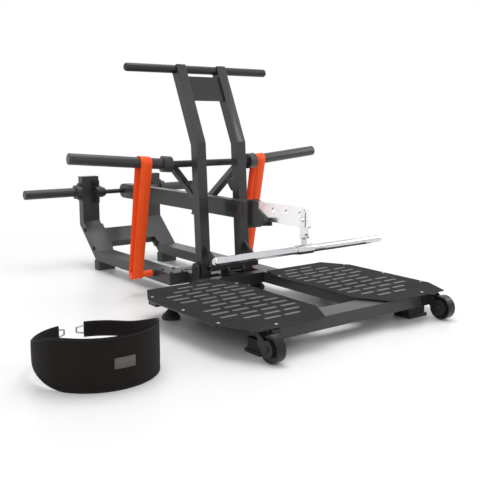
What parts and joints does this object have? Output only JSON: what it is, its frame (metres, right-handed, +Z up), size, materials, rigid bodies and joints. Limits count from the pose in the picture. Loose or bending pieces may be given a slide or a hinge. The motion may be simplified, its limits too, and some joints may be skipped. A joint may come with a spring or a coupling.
{
  "type": "belt squat machine",
  "caption": "Plate-loaded belt squat machine: a hinged lever arm on a welded frame, with a split standing platform, leaning handle frame, stretch bands and a hip belt.",
  "frame": {"origin": "on the floor, under the middle of the box round the whole set, belt included", "axes": "+X to the right of someone on the platform facing the handles, +Y from the platform to the pivot, +Z up"},
  "size_m": [1.8818, 2.039, 1.0751],
  "materials": {
    "powder": "satin dark grey powder coat",
    "black": "satin black powder coat",
    "polished": "polished steel plate",
    "chrome": "bright chrome plate",
    "rubber": "black moulded rubber",
    "tyre": "black solid wheel",
    "band": "matte orange latex",
    "nylon": "black woven belt"
  },
  "bodies": {
    "frame": {"rear_frame_left": "powder", "rear_frame_right": "powder", "rear_crossbeam": "powder", "base_crossbeam": "powder", "foot_beam": "powder", "platform_neck": "powder", "platform_side_neck": "powder", "upright_left": "powder", "upright_right": "powder", "handle_bar": "black", "badge_plate": "black", "latch_bracket": "black", "rest_post": "powder", "rest_bumper": "rubber", "bearing_left": "black", "bearing_right": "black", "plate_horn_left": "powder", "plate_horn_right": "powder", "platform_rear_beam": "black", "platform_side_beam_left": "powder", "platform_side_beam_right": "powder", "platform_front_beam": "powder", "platform_plate_left": "black", "platform_plate_right": "black", "platform_edge_rail_left": "powder", "platform_edge_rail_right": "powder", "front_foot_left": "rubber", "front_foot_right": "rubber", "rear_foot_left": "rubber", "rear_foot_right": "rubber", "levelling_foot_left": "rubber", "levelling_foot_right": "rubber", "neck_foot_left": "rubber", "neck_foot_right": "rubber", "wheel_fork_left": "black", "wheel_fork_right": "black", "band_left": "band", "band_right": "band"},
    "arm": {"lever_beam": "powder", "pivot_shaft": "black", "crossbar": "powder", "sleeve_left": "powder", "sleeve_right": "powder", "brace_left": "powder", "brace_right": "powder", "front_bracket": "black", "extension_plate": "polished"},
    "pin": {"lock_pin": "black"},
    "hanger": {"hanger_strap_left": "chrome", "hanger_strap_right": "chrome", "hanger_pin": "chrome", "swivel_pin": "chrome"},
    "bar": {"bar_clamp": "chrome", "chrome_bar": "chrome"},
    "wheel_l": {"wheel_left": "tyre"},
    "wheel_r": {"wheel_right": "tyre"},
    "belt": {"belt_panel": "nylon"},
    "ring_l": {"belt_ring_left": "chrome"},
    "ring_r": {"belt_ring_right": "chrome"}
  },
  "joints": [
    {"name": "arm_pivot", "type": "hinge", "parent": "frame", "child": "arm", "pos_m": [0.2381, 0.9075, 0.419], "axis": [-1, 0, 0], "range_deg": [0, 26], "deforming": ["band_left", "band_right"]},
    {"name": "pin_pull", "type": "slide", "parent": "arm", "child": "pin", "axis": [-1, 0, 0], "range_m": [0, 0.025]},
    {"name": "hanger_swing", "type": "hinge", "parent": "arm", "child": "hanger", "pos_m": [0.2381, -0.6145, 0.418], "axis": [1, 0, 0], "range_deg": [-35, 35]},
    {"name": "bar_swing", "type": "hinge", "parent": "hanger", "child": "bar", "pos_m": [0.2381, -0.6145, 0.346], "axis": [1, 0, 0], "range_deg": [-60, 60]},
    {"name": "wheel_left_spin", "type": "hinge", "parent": "frame", "child": "wheel_l", "pos_m": [-0.2189, -0.9695, 0.0515], "axis": [1, 0, 0], "continuous": true},
    {"name": "wheel_right_spin", "type": "hinge", "parent": "frame", "child": "wheel_r", "pos_m": [0.6951, -0.9695, 0.0515], "axis": [1, 0, 0], "continuous": true},
    {"name": "belt_lift", "type": "slide", "parent": "frame", "child": "belt", "axis": [0, 0, 1], "range_m": [0, 0.3]},
    {"name": "ring_left_turn", "type": "hinge", "parent": "belt", "child": "ring_l", "pos_m": [-0.7949, -0.4835, 0.086], "axis": [0, 0, 1], "range_deg": [-60, 60]},
    {"name": "ring_right_turn", "type": "hinge", "parent": "belt", "child": "ring_r", "pos_m": [-0.6689, -0.4835, 0.086], "axis": [0, 0, 1], "range_deg": [-60, 60]}
  ]
}
